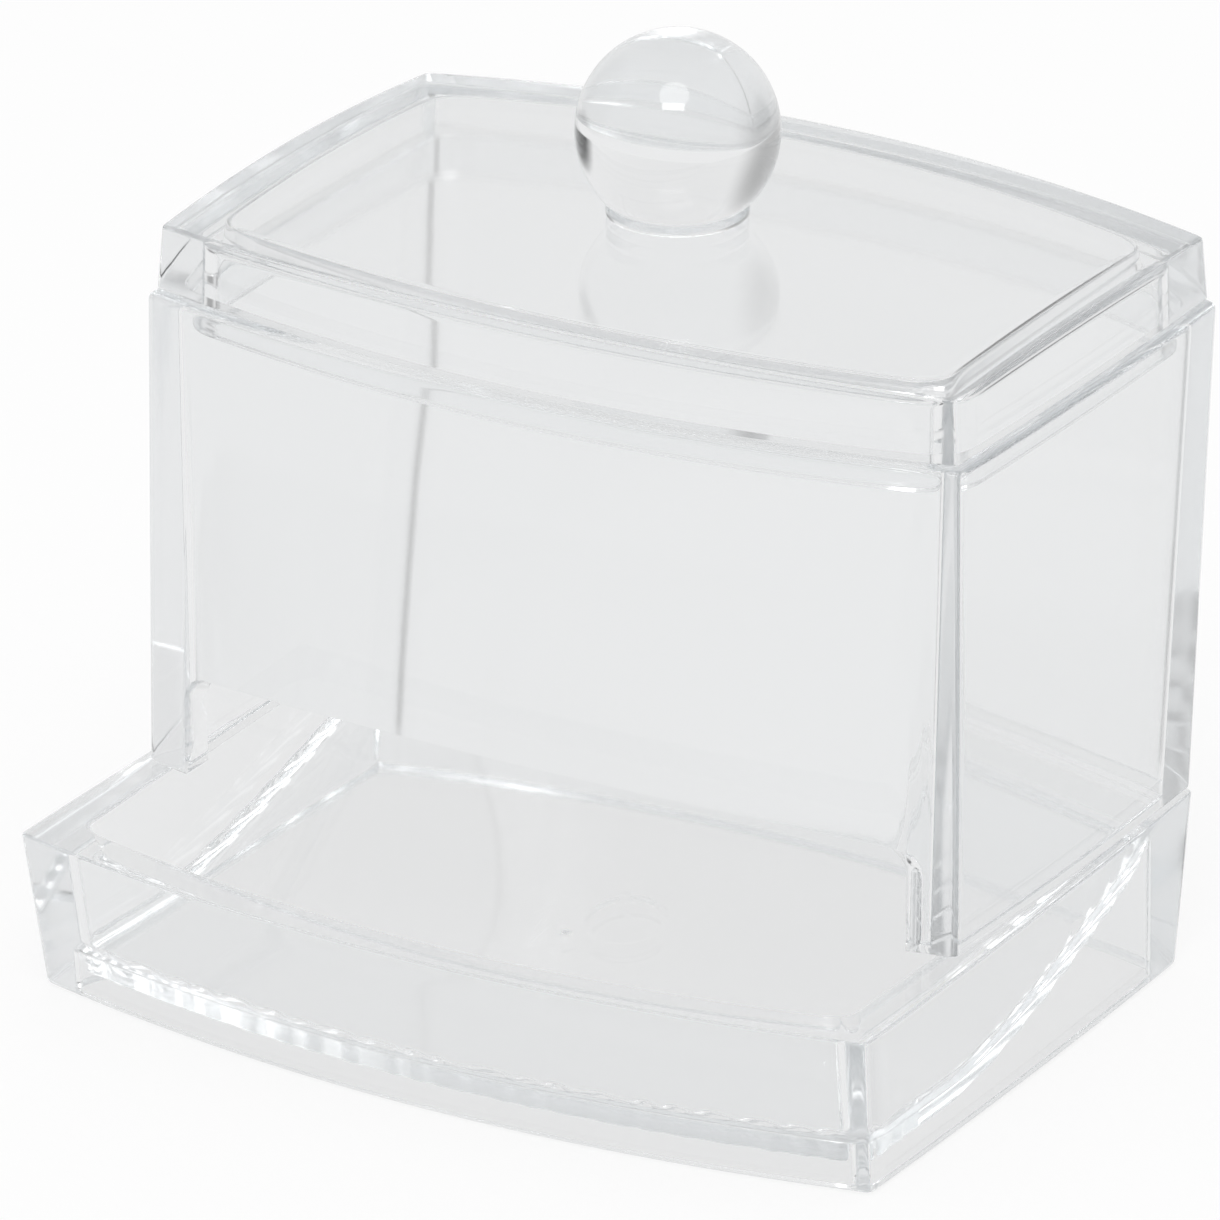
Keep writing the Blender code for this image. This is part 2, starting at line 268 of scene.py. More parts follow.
def skin(name, stations, side_steps, closed=False):
    """A closed moulding skinned over its stations, which keeps their shares for the rules that follow."""
    loops = []
    shares = []
    for at in stations:
        flat = outline(at, side_steps)
        steps = np.linalg.norm(np.roll(flat, -1, axis=0) - flat, axis=1)
        ahead = np.roll(flat, -1, axis=0) - np.roll(flat, 1, axis=0)
        ahead /= np.linalg.norm(ahead, axis=1)[:, None]
        loops.append(np.column_stack([flat[:, 0], flat[:, 1] + MODEL_SHIFT, np.full(len(flat), at[HEIGHT])]))
        shares.append(np.column_stack([
            np.full(len(flat), at[LIFT]),
            np.full(len(flat), at[BEAD]),
            np.concatenate([[0.0], np.cumsum(steps)[:-1]]),
            -ahead[:, 1],
            ahead[:, 0],
        ]))
    count = len(loops[0])
    rows = len(loops)
    faces = []
    for row in range(rows if closed else rows - 1):
        low = row * count
        high = (row + 1) % rows * count
        for i in range(count):
            j = (i + 1) % count
            faces.append((low + i, low + j, high + j, high + i))
    if not closed:
        faces.append(tuple(range(count)))
        faces.append(tuple(range((rows - 1) * count, rows * count)))
    mesh = bpy.data.meshes.new(name)
    mesh.from_pydata(np.concatenate(loops).tolist(), [], faces)
    table = np.concatenate(shares)
    for column, label in enumerate(("lift", "bead", "run", "inward_x", "inward_y")):
        layer = mesh.attributes.new(label, "FLOAT", "POINT")
        layer.data.foreach_set("value", table[:, column].astype(np.float32))
    outward_normals(mesh)
    mesh.shade_smooth()
    piece = bpy.data.objects.new(name, mesh)
    bpy.context.scene.collection.objects.link(piece)
    return piece


def outward_normals(mesh):
    bm = bmesh.new()
    bm.from_mesh(mesh)
    bmesh.ops.recalc_face_normals(bm, faces=bm.faces)
    bm.to_mesh(mesh)
    bm.free()


def adopt(piece, body, nodes=()):
    """Tie a finished piece to its CAD body and the nodes that it stands for."""
    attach(piece, body)
    if nodes:
        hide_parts(*nodes)


# Plans of the mouldings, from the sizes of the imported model
RIM = station(0.0450, 0.0436, -0.0441, 0.0199, 0.0006, BASE_HEIGHT)
FOOT = station(0.0442, 0.0442, -0.0414, 0.0160, 0.0006, 0.0)
BOX_FOOT = station(0.0433, 0.0433, -0.0246, 0.0199, 0.0006, BOX_FOOT_Z)
BOX_TOP = station(0.0429, 0.0429, -0.0244, 0.0241, 0.0006, BOX_TOP_Z)


class Field:
    """A number that a node tree works out, so that a rule reads like arithmetic."""

    def __init__(self, tree, socket):
        self.tree = tree
        self.socket = socket

    def math(self, operation, *others):
        node = self.tree.nodes.new("ShaderNodeMath")
        node.operation = operation
        for index, value in enumerate((self, *others)):
            if isinstance(value, Field):
                self.tree.links.new(value.socket, node.inputs[index])
            else:
                node.inputs[index].default_value = value
        return Field(self.tree, node.outputs[0])

    def __add__(self, other):
        return self.math("ADD", other)

    def __sub__(self, other):
        return self.math("SUBTRACT", other)

    def __mul__(self, other):
        return self.math("MULTIPLY", other)

    def __truediv__(self, other):
        return self.math("DIVIDE", other)

    def __pow__(self, other):
        return self.math("POWER", other)

    def at_least(self, other):
        return self.math("MAXIMUM", other)

    def at_most(self, other):
        return self.math("MINIMUM", other)

    def sine(self):
        return self.math("SINE")

    def cosine(self):
        return self.math("COSINE")


class ShapeTree:
    """A Geometry Nodes tree that moves the points of a piece by a rule with named sizes."""

    def __init__(self, name, sizes):
        self.tree = bpy.data.node_groups.new(name, "GeometryNodeTree")
        face = self.tree.interface
        face.new_socket(name="Geometry", in_out="INPUT", socket_type="NodeSocketGeometry")
        self.identifiers = {}
        for label in sizes:
            socket = face.new_socket(name=label, in_out="INPUT", socket_type="NodeSocketFloat")
            self.identifiers[label] = socket.identifier
        socket = face.new_socket(name="Material", in_out="INPUT", socket_type="NodeSocketMaterial")
        self.identifiers["Material"] = socket.identifier
        face.new_socket(name="Geometry", in_out="OUTPUT", socket_type="NodeSocketGeometry")
        self.inputs = self.tree.nodes.new("NodeGroupInput")
        self.geometry = self.inputs.outputs["Geometry"]

    def size(self, label):
        return Field(self.tree, self.inputs.outputs[label])

    def attribute(self, label):
        node = self.tree.nodes.new("GeometryNodeInputNamedAttribute")
        node.inputs["Name"].default_value = label
        return Field(self.tree, node.outputs["Attribute"])

    def position(self):
        source = self.tree.nodes.new("GeometryNodeInputPosition")
        split = self.tree.nodes.new("ShaderNodeSeparateXYZ")
        self.tree.links.new(source.outputs[0], split.inputs[0])
        return [Field(self.tree, split.outputs[axis]) for axis in range(3)]

    def keep(self, label, value):
        """Keep a value on the points, for the material."""
        node = self.tree.nodes.new("GeometryNodeStoreNamedAttribute")
        node.inputs["Name"].default_value = label
        self.tree.links.new(self.geometry, node.inputs["Geometry"])
        self.tree.links.new(value.socket, node.inputs["Value"])
        self.geometry = node.outputs["Geometry"]

    def noise(self, place, scale, seed):
        """Even noise along a line, between nought and one."""
        node = self.tree.nodes.new("ShaderNodeTexNoise")
        node.noise_dimensions = "1D"
        node.inputs["Scale"].default_value = scale
        node.inputs["Detail"].default_value = 1.0
        self.tree.links.new((place + seed).socket, node.inputs["W"])
        return Field(self.tree, node.outputs[0])

    def move(self, x, y, z):
        join = self.tree.nodes.new("ShaderNodeCombineXYZ")
        for axis, value in enumerate((x, y, z)):
            self.tree.links.new(value.socket, join.inputs[axis])
        node = self.tree.nodes.new("GeometryNodeSetPosition")
        self.tree.links.new(self.geometry, node.inputs["Geometry"])
        self.tree.links.new(join.outputs[0], node.inputs["Position"])
        self.geometry = node.outputs["Geometry"]

    def finish(self, piece, sizes, material):
        """Close the tree, run it on a piece and leave the result as a plain mesh."""
        links = self.tree.links
        realize = self.tree.nodes.new("GeometryNodeRealizeInstances")
        paint = self.tree.nodes.new("GeometryNodeSetMaterial")
        output = self.tree.nodes.new("NodeGroupOutput")
        links.new(self.geometry, realize.inputs["Geometry"])
        links.new(realize.outputs["Geometry"], paint.inputs["Geometry"])
        links.new(self.inputs.outputs["Material"], paint.inputs["Material"])
        links.new(paint.outputs["Geometry"], output.inputs["Geometry"])
        modifier = piece.modifiers.new(self.tree.name, "NODES")
        modifier.node_group = self.tree
        for label, value in {**sizes, "Material": material}.items():
            modifier[self.identifiers[label]] = value
        make_plain(piece)


def parabola(plan, x, front):
    """Where the front or back line of a plan lies at a place across."""
    if front:
        return (x / plan[HALF_FRONT]) ** 2.0 * plan[BOW_FRONT] + (plan[FRONT] - plan[BOW_FRONT])
    return (x / plan[HALF_BACK]) ** 2.0 * -plan[BOW_BACK] + (plan[BACK] + plan[BOW_BACK])


def shape_base(piece, group, material):
    """Raise the floor of the tray into its ramp, and run the moulding's bead round its foot."""
    labels = ("Floor", "Rise", "Curve", "Bead", "Serration", "Pitch", "Step", "Gate", "Seed")
    rule = ShapeTree("ramp_and_bead", labels)
    x, y, z = rule.position()
    depth = y - MODEL_SHIFT
    start = parabola(BOX_FOOT, x, True) + RAMP_START
    end = parabola(RIM, x, False) - RAMP_END
    reach = ((depth - start) / (end - start)).at_least(0.0)
    floor = rule.size("Floor") + rule.size("Rise") * reach ** rule.size("Curve")
    run = rule.attribute("run")
    seed = rule.size("Seed")
    along = (run - run.at_most(FRONT_RUN) * FRONT_STRETCH) / rule.size("Pitch")
    beside = (run - FRONT_RUN).math("SIGN").at_least(0.0)
    steps = (floor + z) / rule.size("Step")
    uneven = rule.noise(run, UNEVEN_PITCH, seed) * (beside * -1.0 + 1.2)
    turns = along + (steps - along) * beside + uneven
    wave = (turns * (2 * pi)).sine() * 0.5 + 0.5
    strength = rule.noise(run, UNEVEN_STRENGTH, seed + SECOND_SEED) * STRENGTH_RANGE + LEAST_STRENGTH
    ripple = rule.attribute("bead") * wave * strength
    on_top = (z * -1.0 - 0.0001).math("SIGN").at_least(0.0) * -1.0 + 1.0
    raised = rule.size("Bead") * ripple * on_top
    inward = raised + rule.size("Serration") * ripple * (on_top * -1.0 + 1.0)
    # Painted glints: a mask of where a white glow is painted on the crests of the steps, as highlights
    at_side = ((x.math("ABSOLUTE") - SIDE_GLINT_FROM) * SIDE_GLINT_RISE).at_least(0.0).at_most(1.0)
    in_front = ((run * -1.0 + FRONT_GLINT_TO) * FRONT_GLINT_RISE).at_least(0.0).at_most(1.0)
    bright = at_side * beside * SIDE_GLINT + in_front * (beside * -1.0 + 1.0) * FRONT_GLINT
    crest = ((wave - GLINT_LEVEL) * GLINT_RISE).at_least(0.0).at_most(1.0)
    painted_glint_mask = crest * strength.at_most(1.0) * rule.attribute("bead")
    rule.keep("painted_glint", painted_glint_mask * bright * (on_top * -1.0 + 1.0))
    rule.move(
        x + rule.attribute("inward_x") * inward,
        y + rule.attribute("inward_y") * inward,
        z + rule.attribute("lift") * (floor + gate_marks(rule, x, depth) * on_top) + raised,
    )
    sizes = {
        "Floor": FLOOR_TOP,
        "Rise": group.rise,
        "Curve": group.curve,
        "Bead": group.bead,
        "Serration": group.serration,
        "Pitch": group.pitch,
        "Step": group.step,
        "Gate": group.gate,
        "Seed": 3.0,
    }
    rule.finish(piece, sizes, material)


def gate_marks(rule, x, depth):
    """The round dimple where the base was cut from its sprue, and the drop left beside it."""
    marks = None
    for across, along, radius, edge, height in (GATE_DIMPLE, GATE_DROP):
        away = ((x - across) ** 2.0 + (depth - along) ** 2.0) ** 0.5
        inside = ((away - radius) / edge * -1.0 + 0.5).at_least(0.0).at_most(1.0)
        mark = rule.size("Gate") * inside * height
        marks = mark if marks is None else marks + mark
    return marks


def shape_lid(piece, group, material):
    """Give the lid's plate its slight swell."""
    rule = ShapeTree("lid_swell", ("Crown", "Dome"))
    x, y, z = rule.position()
    across = (x / BOX_TOP[HALF_FRONT]) ** 2.0
    middle = (BOX_TOP[FRONT] + BOX_TOP[BACK]) / 2 + MODEL_SHIFT
    depth = (across * -1.0 + 1.0) * FRONT_BOW + (BOX_TOP[BACK] - BOX_TOP[FRONT]) / 2
    along = ((y - middle) / depth) ** 2.0
    swell = rule.size("Crown") * (across * -1.0 + 1.0) + rule.size("Dome") * (along * -1.0 + 1.0)
    rule.move(x, y, z + rule.attribute("lift") * swell)
    rule.finish(piece, {"Crown": group.crown, "Dome": group.dome}, material)


def shape_knob(piece, group, material, middle, low, high):
    """Wrap a flat grid into the ball on its foot, with the turn across it and the profile along it."""
    rule = ShapeTree("ball_on_foot", ("Ball Radius", "Foot Radius", "Foot Height", "Edge"))
    u, v, _ = rule.position()
    ball = rule.size("Ball Radius")
    foot = rule.size("Foot Radius")
    edge = rule.size("Edge")
    last = (foot / ball).math("ARCSINE") * -1.0 + pi
    angle = v.at_most(1.0) * last
    down = (v - 1.0).at_least(0.0).at_most(1.0)
    turn = (v - 2.0).at_least(0.0).at_most(1.0) * (pi / 2)
    inward = (v - 3.0).at_least(0.0).at_most(1.0)
    on_foot = (v - 1.0).math("SIGN").at_least(0.0)
    rim = foot - edge + edge * turn.cosine()
    radius = on_foot.math("MULTIPLY_ADD", rim - ball * angle.sine(), ball * angle.sine())
    radius = radius * (inward * -1.0 + 1.0)
    drop = rule.size("Foot Height") - edge
    height = angle.cosine() * ball + (high - group.ball_radius) - down * drop - turn.sine() * edge
    rule.move(
        radius * (u * (2 * pi)).cosine() + middle[0],
        radius * (u * (2 * pi)).sine() + middle[1],
        height.at_least(low),
    )
    weld = rule.tree.nodes.new("GeometryNodeMergeByDistance")
    weld.inputs["Distance"].default_value = 0.00001
    rule.tree.links.new(rule.geometry, weld.inputs["Geometry"])
    rule.geometry = weld.outputs["Geometry"]
    sunk = high - group.ball_radius - (group.ball_radius ** 2 - group.foot_radius ** 2) ** 0.5 - low
    sizes = {
        "Ball Radius": group.ball_radius,
        "Foot Radius": group.foot_radius,
        "Foot Height": sunk,
        "Edge": 0.0003,
    }
    rule.finish(piece, sizes, material)


def distance(tree, places, corners):
    """How far a place lies from a corner, both given along the same two axes."""
    squares = []
    for place, corner in zip(places, corners):
        offset = math_node(tree, "ABSOLUTE", math_node(tree, "SUBTRACT", place, corner))
        squares.append(math_node(tree, "POWER", offset, 2.0))
    return math_node(tree, "SQRT", math_node(tree, "ADD", *squares))


def back_corner_painted_shade(tree, x, y, z):
    """One along the two inner corners at the back of the box, where painted shade darkens the plastic."""
    share = math_node(tree, "DIVIDE", math_node(tree, "SUBTRACT", z, BOX_FOOT_Z), BOX_TOP_Z - BOX_FOOT_Z)
    corners = []
    for foot, top in BOX_PAINTED_SHADE_LINES:
        corners.append(math_node(tree, "ADD", math_node(tree, "MULTIPLY", share, top - foot), foot))
    away = distance(tree, (math_node(tree, "ABSOLUTE", x), y), corners)
    start = step_between(tree, z, *BOX_PAINTED_SHADE_START)
    end = step_between(tree, z, *BOX_PAINTED_SHADE_END)
    line = step_between(tree, away, *BOX_PAINTED_SHADE_WIDTH)
    return math_node(tree, "MULTIPLY", line, math_node(tree, "MULTIPLY", start, end))


def lid_edge_painted_shade(tree, x, y, z):
    """One along the right inner edge of the lid's hollow, where painted shade darkens the plastic."""
    along = math_node(tree, "DIVIDE", math_node(tree, "SUBTRACT", y, LID_PAINTED_SHADE_MIDDLE), LID_PAINTED_SHADE_REACH)
    square = math_node(tree, "POWER", math_node(tree, "ABSOLUTE", along), 2.0)
    swell = math_node(tree, "SUBTRACT", 1.0, square)
    corners = []
    for low, rise in LID_PAINTED_SHADE_LINES:
        corners.append(math_node(tree, "ADD", math_node(tree, "MULTIPLY", swell, rise), low))
    start = step_between(tree, y, *LID_PAINTED_SHADE_START)
    end = step_between(tree, y, *LID_PAINTED_SHADE_END)
    line = step_between(tree, distance(tree, (x, z), corners), *LID_PAINTED_SHADE_WIDTH)
    return math_node(tree, "MULTIPLY", line, math_node(tree, "MULTIPLY", start, end))


def clear_plastic(name, group, painted_shade=None, painted_shade_tone=1.0):
    """Clear moulded plastic with faint flow lines, painted glints in its fine steps and any painted shade."""
    material = bpy.data.materials.new(name)
    material.use_nodes = True
    tree = material.node_tree
    nodes = tree.nodes
    links = tree.links
    shader = nodes["Principled BSDF"]
    shader.inputs["Base Color"].default_value = (*group.tint, 1.0)
    shader.inputs["IOR"].default_value = group.ior
    shader.inputs["Transmission Weight"].default_value = 1.0
    # Painted glints: the plastic glows white where the base's glint mask is set, as painted highlights
    painted_glint = nodes.new("ShaderNodeAttribute")
    painted_glint.attribute_name = "painted_glint"
    shader.inputs["Emission Color"].default_value = (1.0, 1.0, 1.0, 1.0)
    glow = math_node(tree, "MULTIPLY", painted_glint.outputs["Fac"], group.painted_glint)
    links.new(glow, shader.inputs["Emission Strength"])
    shader.inputs["Roughness"].default_value = group.roughness
    coordinates = nodes.new("ShaderNodeTexCoord")
    flow = nodes.new("ShaderNodeTexNoise")
    flow.inputs["Scale"].default_value = 55.0
    flow.inputs["Detail"].default_value = 2.0
    links.new(coordinates.outputs["Object"], flow.inputs["Vector"])
    bump = nodes.new("ShaderNodeBump")
    bump.inputs["Strength"].default_value = group.flow
    bump.inputs["Distance"].default_value = 0.001
    links.new(flow.outputs["Fac"], bump.inputs["Height"])
    links.new(bump.outputs["Normal"], shader.inputs["Normal"])
    # Painted shade: the plastic's colour darkens towards the given tone along the masked line
    if painted_shade:
        shade = nodes.new("ShaderNodeMix")
        shade.data_type = "RGBA"
        shade.inputs[6].default_value = (*group.tint, 1.0)
        shade.inputs[7].default_value = (painted_shade_tone, painted_shade_tone, painted_shade_tone, 1.0)
        split = nodes.new("ShaderNodeSeparateXYZ")
        links.new(coordinates.outputs["Object"], split.inputs[0])
        links.new(painted_shade(tree, *split.outputs), shade.inputs[0])
        links.new(shade.outputs[2], shader.inputs["Base Color"])
    absorb = nodes.new("ShaderNodeVolumeAbsorption")
    absorb.inputs["Color"].default_value = (*group.depth_tint, 1.0)
    absorb.inputs["Density"].default_value = group.depth
    links.new(absorb.outputs["Volume"], nodes["Material Output"].inputs["Volume"])
    return material


class PlasticSettings(PropertyGroup):
    tint: FloatVectorProperty(
        name="Tint", description="Colour that each wall gives to light through it",
        default=(0.972, 0.977, 0.980), subtype="COLOR", min=0.0, max=1.0)
    depth_tint: FloatVectorProperty(
        name="Depth tint", description="Colour that long paths inside the plastic take on",
        default=(0.86, 0.885, 0.90), subtype="COLOR", min=0.0, max=1.0)
    depth: FloatProperty(
        name="Depth", description="How fast the depth tint builds up, for each metre", default=6.5, min=0.0)
    ior: FloatProperty(
        name="Refraction", description="How strongly the plastic bends light", default=1.57, min=1.0, max=2.0)
    roughness: FloatProperty(
        name="Roughness", description="Softness of what shows through and on the plastic",
        default=0.06, min=0.0, max=1.0, subtype="FACTOR")
    # Painted glints: how bright the painted white glow in the fine steps is
    painted_glint: FloatProperty(
        name="Glints", description="Brightness of the light that the fine steps beside the ramp catch",
        default=0.5, min=0.0, max=1.0)
    flow: FloatProperty(
        name="Flow lines", description="Strength of the faint waves in the moulded faces",
        default=0.02, min=0.0, max=1.0)


class BaseSettings(PropertyGroup):
    rise: FloatProperty(
        name="Rise", description="How far the ramp climbs from the tray's floor to the back",
        default=0.0112, min=0.0, unit="LENGTH")
    curve: FloatProperty(
        name="Curve", description="How late the ramp turns upwards; 1 is a straight slope",
        default=1.35, min=1.0)
    bead: FloatProperty(
        name="Bead", description="Height of the rippled bead where the walls meet the floor",
        default=0.0002, min=0.0, unit="LENGTH")
    serration: FloatProperty(
        name="Serration", description="Depth of the teeth along the edge of the floor, where it is welded in",
        default=0.0003, min=0.0, unit="LENGTH")
    pitch: FloatProperty(
        name="Pitch", description="Distance from one tooth or ripple to the next",
        default=0.0021, min=0.0005, unit="LENGTH")
    step: FloatProperty(
        name="Step", description="Height of each of the fine steps at the sides of the ramp",
        default=0.0012, min=0.0003, unit="LENGTH")
    gate: FloatProperty(
        name="Gate mark", description="Depth of the round mark in the middle of the floor",
        default=0.0001, min=0.0, unit="LENGTH")


class LidSettings(PropertyGroup):
    crown: FloatProperty(
        name="Crown", description="How far the lid's edge rises from the corners to the middle",
        default=0.0009, min=0.0, unit="LENGTH")
    dome: FloatProperty(
        name="Dome", description="How far the lid's plate swells from front to back",
        default=0.0010, min=0.0, unit="LENGTH")


class KnobSettings(PropertyGroup):
    ball_radius: FloatProperty(
        name="Ball radius", description="Radius of the ball", default=0.0095, min=0.001, unit="LENGTH")
    foot_radius: FloatProperty(
        name="Foot radius", description="Radius of the round foot", default=0.00665, min=0.001, unit="LENGTH")


class StudioSettings(PropertyGroup):
    floor_tone: FloatProperty(
        name="Floor tone", description="Shade of the floor's paper",
        default=0.9, min=0.0, max=1.0, subtype="FACTOR")
    shadow: FloatProperty(
        name="Shadow", description="Share of the floor that takes shadow",
        default=0.14, min=0.0, max=1.0, subtype="FACTOR")
    backdrop: FloatProperty(
        name="Backdrop", description="Shade of the paper where it shows in the plastic",
        default=0.868, min=0.0, max=1.0, subtype="FACTOR")
    sky: FloatProperty(
        name="Tent", description="Brightness of the white tent round the object", default=1.0, min=0.0)
    opening: FloatProperty(
        name="Opening", description="Brightness left in the tent's side openings",
        default=0.0, min=0.0, max=1.0, subtype="FACTOR")
    softbox: FloatProperty(
        name="Softbox", description="Power of the large overhead lamp", default=2.0, min=0.0, unit="POWER")


class DISPENSER_OT_base(Operator):
    """Make the tray base with its ramp"""
    bl_idname = "dispenser.base"
    bl_label = "Tray base"

    def execute(self, context):
        group = context.scene.dispenser_base
        rim_inner = station(0.0406, 0.0406, -0.0401, 0.0169, 0.0020, BASE_HEIGHT)
        wall_foot = station(0.0403, 0.0403, -0.0382, 0.0169, 0.0020, 0.0, 1.0)
        edge_low = station(0.0405, 0.0405, -0.0380, 0.0124, 0.0012, -FLOOR_THICKNESS, 1.0)
        edge_high = moved_in(edge_low, 0.0, z=-0.0002)
        seam = moved_in(edge_high, -0.0006)
        foot_inner = station(0.0412, 0.0412, -0.0386, 0.0130, 0.0012, 0.0)
        stops = [
            (towards_middle(edge_low, 0.02), 0.0, 16),
            (moved_in(edge_low, 0.0007), 0.0, 1),
            (beaded(edge_low), 0.0, 16),
            (beaded(edge_high), 0.0, 1),
            (seam, 0.0002, 1),
            (foot_inner, 0.00015, 1),
            (FOOT, 0.0006, 1),
            (RIM, 0.0003, 1),
            (rim_inner, 0.0003, 4),
            (beaded(wall_foot), 0.0010, 20),
            (towards_middle(wall_foot, 0.30), 0.0, 30),
            (towards_middle(wall_foot, 0.02), 0.0, 0),
        ]
        piece = skin("tray_base_moulding", rounded_profile(stops, False), (200, 200, 60, 200))
        material = clear_plastic("tray_base_plastic", context.scene.dispenser_plastic)
        shape_base(piece, group, material)
        adopt(piece, "housing", ["tray_base"])
        return {"FINISHED"}


class DISPENSER_OT_box(Operator):
    """Make the four walls with their window"""
    bl_idname = "dispenser.box"
    bl_label = "Box walls"

    def execute(self, context):
        inner_foot = moved_in(BOX_FOOT, 0.0030, radius=0.0007)
        inner_foot[[HALF_FRONT, HALF_BACK]] = 0.0392, 0.0391
        inner_top = moved_in(BOX_TOP, 0.0030, radius=0.0007)
        stops = [
            (BOX_FOOT, 0.0003, 1),
            (BOX_TOP, 0.0008, 1),
            (inner_top, 0.0005, 1),
            (inner_foot, 0.0003, 1),
        ]
        piece = skin("box_walls_moulding", rounded_profile(stops, True), (72, 12, 72, 12), closed=True)
        cut_window(piece)
        settings = context.scene.dispenser_plastic
        # The box's plastic has painted shade along its back inner corners
        piece.data.materials.append(
            clear_plastic("box_walls_plastic", settings, back_corner_painted_shade, BOX_PAINTED_SHADE_TONE))
        adopt(piece, "housing", ["box_walls"])
        return {"FINISHED"}


def cut_window(piece):
    """Cut the opening at the foot of the front wall and round its edges."""
    half_width = 0.0386
    radius = 0.0025
    top = 0.0275
    draught = 0.30
    margin = 0.002
    corner_steps = 8
    front = BOX_FOOT[FRONT] - FRONT_BOW - margin + MODEL_SHIFT
    back = BOX_FOOT[FRONT] + 0.0085 + MODEL_SHIFT
    points = []
    for depth in (front, back):
        height = top - (depth - front - 0.0035) * draught
        points += [(-half_width, depth, BOX_FOOT_Z - margin), (half_width, depth, BOX_FOOT_Z - margin)]
        for side in (1, -1):
            for step in range(corner_steps + 1):
                turn = pi / 2 * step / corner_steps
                if side < 0:
                    turn = pi / 2 - turn
                across = side * (half_width - radius + radius * cos(turn))
                points.append((across, depth, height - radius + radius * sin(turn)))
    count = len(points) // 2
    faces = [(i, (i + 1) % count, count + (i + 1) % count, count + i) for i in range(count)]
    faces += [tuple(range(count)), tuple(range(count, 2 * count))]
    mesh = bpy.data.meshes.new("window_cutter")
    mesh.from_pydata(points, [], faces)
    outward_normals(mesh)
    cutter = bpy.data.objects.new("window_cutter", mesh)
    bpy.context.scene.collection.objects.link(cutter)
    boolean = piece.modifiers.new("window", "BOOLEAN")
    boolean.operation = "DIFFERENCE"
    boolean.solver = "EXACT"
    boolean.object = cutter
    make_plain(piece)
    bpy.data.objects.remove(cutter)
    bm = bmesh.new()
    bm.from_mesh(piece.data)
    sharp = [
        edge for edge in bm.edges
        if len(edge.link_faces) == 2 and edge.calc_face_angle() > SHARP_CORNER
    ]
    bmesh.ops.bevel(
        bm, geom=sharp, offset=EDGE_ROUNDING, segments=2, profile=0.5, affect="EDGES", clamp_overlap=True)
    bm.to_mesh(piece.data)
    bm.free()
    piece.data.shade_smooth()
    piece.data.set_sharp_from_angle(angle=SHARP_SHADING)


def make_plain(piece):
    """Turn a piece with modifiers into a plain mesh."""
    graph = bpy.context.evaluated_depsgraph_get()
    mesh = bpy.data.meshes.new_from_object(piece.evaluated_get(graph))
    piece.modifiers.clear()
    piece.data = mesh


class DISPENSER_OT_lid(Operator):
    """Make the lid with its lip"""
    bl_idname = "dispenser.lid"
    bl_label = "Lid"

    def execute(self, context):
        seat = moved_in(BOX_TOP, 0.0006, z=LID_SEAT_Z)
        top = moved_in(BOX_TOP, 0.0010, z=LID_TOP_Z, lift=1.0)
        lip_share = (LIP_Z - BOX_FOOT_Z) / (BOX_TOP_Z - BOX_FOOT_Z)
        lip_low = moved_in(between(BOX_FOOT, BOX_TOP, lip_share), 0.0033, radius=0.0030, z=LIP_Z)
        lip_high = lip_low.copy()
        lip_high[HEIGHT] = LID_SEAT_Z
        hollow_low = moved_in(lip_low, 0.0015)
        hollow_high = hollow_low.copy()
        hollow_high[HEIGHT] = LID_TOP_Z - 0.0024
        hollow_high[LIFT] = 1.0
        stops = [
            (towards_middle(top, 0.02), 0.0, 40),
            (top, 0.0006, 1),
            (seat, 0.0003, 1),
            (lip_high, 0.0002, 1),
            (lip_low, 0.0003, 1),
            (hollow_low, 0.0003, 1),
            (hollow_high, 0.0008, 40),
            (towards_middle(hollow_high, 0.02), 0.0, 0),
        ]
        piece = skin("lid_moulding", rounded_profile(stops, False), (72, 24, 72, 24))
        settings = context.scene.dispenser_plastic
        # The lid's plastic has painted shade along its right inner edge
        material = clear_plastic("lid_plastic", settings, lid_edge_painted_shade, LID_PAINTED_SHADE_TONE)
        shape_lid(piece, context.scene.dispenser_lid, material)
        adopt(piece, "lid_body", ["lid"])
        return {"FINISHED"}


class DISPENSER_OT_knob(Operator):
    """Make the ball knob"""
    bl_idname = "dispenser.knob"
    bl_label = "Ball knob"

    def execute(self, context):
        low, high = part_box("ball_knob")
        middle = (low + high) / 2
        turns = 96
        ball_rows = [step / 48 for step in range(49)]
        edge_rows = [2 + step / 4 for step in range(5)]
        rows = [*ball_rows, 1.5, *edge_rows, 3.5, 4.0]
        points = [(step / turns, row, 0.0) for row in rows for step in range(turns + 1)]
        faces = []
        for row in range(len(rows) - 1):
            for step in range(turns):
                corner = row * (turns + 1) + step
                faces.append((corner, corner + 1, corner + turns + 2, corner + turns + 1))
        mesh = bpy.data.meshes.new("ball_knob_moulding")
        mesh.from_pydata(points, [], faces)
        piece = bpy.data.objects.new("ball_knob_moulding", mesh)
        context.scene.collection.objects.link(piece)
        material = clear_plastic("ball_knob_plastic", context.scene.dispenser_plastic)
        shape_knob(piece, context.scene.dispenser_knob, material, middle, low.z, high.z)
        outward_normals(piece.data)
        piece.data.shade_smooth()
        piece.data.set_sharp_from_angle(angle=SHARP_SHADING)
        adopt(piece, "lid_body", ["ball_knob"])
        return {"FINISHED"}


